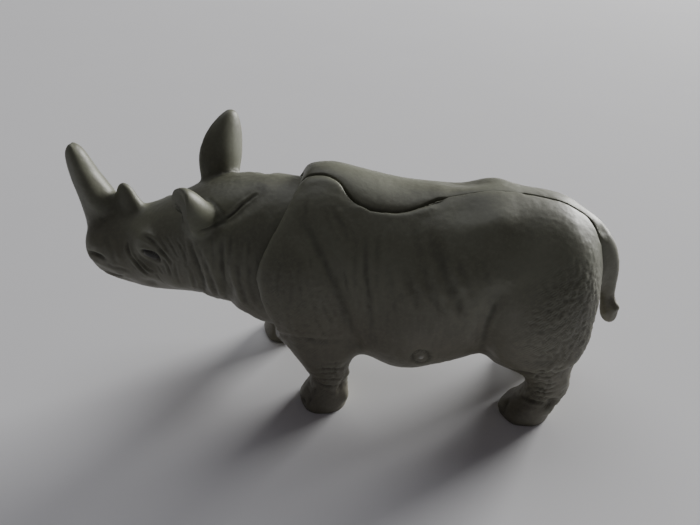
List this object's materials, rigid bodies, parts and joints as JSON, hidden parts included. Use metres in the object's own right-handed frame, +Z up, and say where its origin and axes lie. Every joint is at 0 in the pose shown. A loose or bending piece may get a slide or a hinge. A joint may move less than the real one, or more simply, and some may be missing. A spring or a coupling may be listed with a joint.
{
  "type": "rhinoceros figurine",
  "caption": "Small moulded plastic rhinoceros standing on its feet: body in shells with a wandering parting line over the back, and a head with horns and cupped ears seated in the collar.",
  "frame": {"origin": "centre of the bounding box at the level of the soles", "axes": "X along the animal with the horns toward -X, the animal's left side toward -Y, +Z up"},
  "size_m": [0.0644, 0.0206, 0.0324],
  "materials": {
    "left_shell": "grey-green, semi-matt, fine skin grain",
    "right_shell": "grey-green, semi-matt, fine skin grain",
    "head": "grey-green, semi-matt, fine skin grain"
  },
  "bodies": {
    "root": {"left_shell": "left_shell", "right_shell": "right_shell", "head": "head"}
  },
  "joints": []
}
